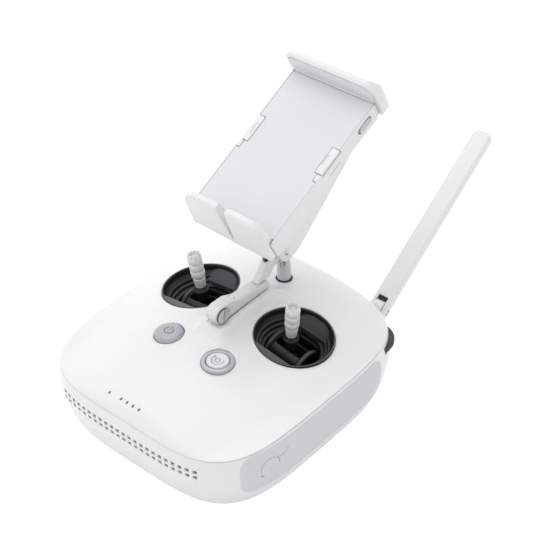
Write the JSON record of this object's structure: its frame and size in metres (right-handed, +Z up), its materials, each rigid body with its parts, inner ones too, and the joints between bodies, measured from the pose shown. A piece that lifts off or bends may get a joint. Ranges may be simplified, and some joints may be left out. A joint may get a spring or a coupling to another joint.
{
  "type": "radio transmitter controller",
  "caption": "Handheld radio transmitter: crowned casing, sprung control sticks, folding phone holder with sliding clamp, and flat folding antennas.",
  "frame": {"origin": "on the rest plane, at the middle of the casing's plan outline", "axes": "+X to the user's right, +Y away from the user towards the antennas, +Z up out of the casing's top"},
  "size_m": [0.1618, 0.2842, 0.1867],
  "materials": {
    "white_plastic": "smooth moulded white plastic",
    "silver_plastic": "satin silver-grey plastic",
    "grey_rubber": "soft cool-grey rubber",
    "pale_rubber": "pale grey rubber",
    "black_plastic": "satin black plastic",
    "dark_plastic": "dark grey plastic",
    "aluminium": "turned and knurled",
    "steel": "bright steel",
    "circuit_board": "green solder mask",
    "cell_wrap": "shrink wrap",
    "lamp_lens": "translucent light pipe"
  },
  "bodies": {
    "casing": {"top_shell": "white_plastic", "bottom_shell": "white_plastic", "front_vent_grille": "white_plastic", "grip_pad_R": "grey_rubber", "grip_pad_L": "grey_rubber", "well_liner_R": "black_plastic", "well_liner_L": "black_plastic", "gimbal_frame_R": "dark_plastic", "gimbal_frame_L": "dark_plastic", "home_ring": "dark_plastic", "led_light_pipe": "lamp_lens", "arm_screw": "silver_plastic", "main_board": "circuit_board", "radio_board": "circuit_board", "battery_pack": "cell_wrap", "charge_socket": "steel", "case_screw_1": "steel", "case_screw_2": "steel", "case_screw_3": "steel", "case_screw_4": "steel", "strap_post": "steel", "strap_post_ring": "black_plastic"},
    "right_yoke": {"gimbal_yoke_R": "black_plastic"},
    "right_stick": {"stick_carrier_R": "dark_plastic", "stick_shaft_R": "aluminium", "stick_tip_R": "aluminium"},
    "left_yoke": {"gimbal_yoke_L": "black_plastic"},
    "left_stick": {"stick_carrier_L": "dark_plastic", "stick_shaft_L": "aluminium", "stick_tip_L": "aluminium"},
    "power_button": {"power_button": "silver_plastic"},
    "home_button": {"home_button": "silver_plastic"},
    "arm": {"arm_bar": "silver_plastic", "arm_link": "white_plastic", "tilt_pin": "steel"},
    "tray": {"tray_frame": "white_plastic", "tray_pad": "pale_rubber", "tray_lip": "white_plastic", "usb_socket": "steel"},
    "clamp": {"clamp_bar": "white_plastic", "clamp_rails": "steel", "clamp_rubber": "pale_rubber"},
    "release_button": {"release_button": "silver_plastic"},
    "right_side_tab": {"side_tab_R": "white_plastic"},
    "left_side_tab": {"side_tab_L": "white_plastic"},
    "port_cover": {"port_cover": "grey_rubber"},
    "right_knuckle": {"antenna_knuckle_R": "white_plastic", "antenna_pin_R": "steel"},
    "right_antenna": {"antenna_paddle_R": "white_plastic"},
    "left_knuckle": {"antenna_knuckle_L": "white_plastic", "antenna_pin_L": "steel"},
    "left_antenna": {"antenna_paddle_L": "white_plastic"},
    "gimbal_dial": {"gimbal_dial": "black_plastic"},
    "setting_dial": {"setting_dial": "black_plastic"},
    "record_button": {"record_button": "silver_plastic"},
    "shutter_button": {"shutter_button": "silver_plastic"},
    "pause_button": {"pause_button": "silver_plastic"},
    "function_button_1": {"function_button_1": "silver_plastic"},
    "function_button_2": {"function_button_2": "silver_plastic"},
    "mode_switch": {"mode_switch": "black_plastic"}
  },
  "joints": [
    {"name": "right_stick_forward", "type": "hinge", "parent": "casing", "child": "right_yoke", "pos_m": [0.03358, 0.02, 0.0383], "axis": [0.9848, 0, -0.1736], "range_deg": [-22, 22]},
    {"name": "right_stick_sideways", "type": "hinge", "parent": "right_yoke", "child": "right_stick", "pos_m": [0.03358, 0.02, 0.0383], "axis": [0, 1, 0], "range_deg": [-22, 22]},
    {"name": "left_stick_forward", "type": "hinge", "parent": "casing", "child": "left_yoke", "pos_m": [-0.03358, 0.02, 0.0383], "axis": [0.9848, 0, 0.1736], "range_deg": [-22, 22]},
    {"name": "left_stick_sideways", "type": "hinge", "parent": "left_yoke", "child": "left_stick", "pos_m": [-0.03358, 0.02, 0.0383], "axis": [0, 1, 0], "range_deg": [-22, 22]},
    {"name": "power_press", "type": "slide", "parent": "casing", "child": "power_button", "axis": [0, 0, -1], "range_m": [0, 0.001]},
    {"name": "home_press", "type": "slide", "parent": "casing", "child": "home_button", "axis": [0, 0, -1], "range_m": [0, 0.001]},
    {"name": "arm_fold", "type": "hinge", "parent": "casing", "child": "arm", "pos_m": [0, -0.005, 0.071], "axis": [1, 0, 0], "range_deg": [0, 40]},
    {"name": "tray_tilt", "type": "hinge", "parent": "arm", "child": "tray", "pos_m": [0, 0.0496, 0.087], "axis": [1, 0, 0], "range_deg": [-20, 35]},
    {"name": "clamp_slide", "type": "slide", "parent": "tray", "child": "clamp", "axis": [0, 0.8957, 0.4446], "range_m": [0, 0.06]},
    {"name": "release_press", "type": "slide", "parent": "tray", "child": "release_button", "axis": [-1, 0, 0], "range_m": [0, 0.0012]},
    {"name": "right_tab_flip", "type": "hinge", "parent": "tray", "child": "right_side_tab", "pos_m": [0.0296, 0.06281, 0.15259], "axis": [0, 0.8957, 0.4446], "range_deg": [0, 85]},
    {"name": "left_tab_flip", "type": "hinge", "parent": "tray", "child": "left_side_tab", "pos_m": [-0.0296, 0.06281, 0.15259], "axis": [0, -0.8957, -0.4446], "range_deg": [0, 85]},
    {"name": "port_cover_open", "type": "hinge", "parent": "casing", "child": "port_cover", "pos_m": [0.08009, -0.04279, 0.03], "axis": [0, 0, 1], "range_deg": [0, 90]},
    {"name": "right_antenna_swivel", "type": "hinge", "parent": "casing", "child": "right_knuckle", "pos_m": [0.0453, 0.0906, 0.0362], "axis": [0, 1, 0], "range_deg": [-20, 90]},
    {"name": "right_antenna_tilt", "type": "hinge", "parent": "right_knuckle", "child": "right_antenna", "pos_m": [0.0453, 0.0906, 0.0362], "axis": [1, 0, 0], "range_deg": [-70, 60]},
    {"name": "left_antenna_swivel", "type": "hinge", "parent": "casing", "child": "left_knuckle", "pos_m": [-0.0453, 0.0906, 0.0362], "axis": [0, -1, 0], "range_deg": [-20, 90]},
    {"name": "left_antenna_tilt", "type": "hinge", "parent": "left_knuckle", "child": "left_antenna", "pos_m": [-0.0453, 0.0906, 0.0362], "axis": [1, 0, 0], "range_deg": [-70, 60]},
    {"name": "gimbal_dial_turn", "type": "hinge", "parent": "casing", "child": "gimbal_dial", "pos_m": [-0.0615, 0.0615, 0.0401], "axis": [0, 0, 1], "range_deg": [-30, 30], "stiffness_Nm_per_rad": 0.002},
    {"name": "setting_dial_turn", "type": "hinge", "parent": "casing", "child": "setting_dial", "pos_m": [0.0615, 0.0615, 0.0401], "axis": [0, 0, 1], "continuous": true},
    {"name": "record_press", "type": "slide", "parent": "casing", "child": "record_button", "axis": [0, -1, 0], "range_m": [0, 0.0012]},
    {"name": "shutter_press", "type": "slide", "parent": "casing", "child": "shutter_button", "axis": [0, -1, 0], "range_m": [0, 0.0012]},
    {"name": "pause_press", "type": "slide", "parent": "casing", "child": "pause_button", "axis": [0, -1, 0], "range_m": [0, 0.0012]},
    {"name": "function_1_press", "type": "slide", "parent": "casing", "child": "function_button_1", "axis": [0, -1, 0], "range_m": [0, 0.0012]},
    {"name": "function_2_press", "type": "slide", "parent": "casing", "child": "function_button_2", "axis": [0, -1, 0], "range_m": [0, 0.0012]},
    {"name": "mode_switch_slide", "type": "slide", "parent": "casing", "child": "mode_switch", "axis": [1, 0, 0], "range_m": [0, 0.0068]}
  ]
}
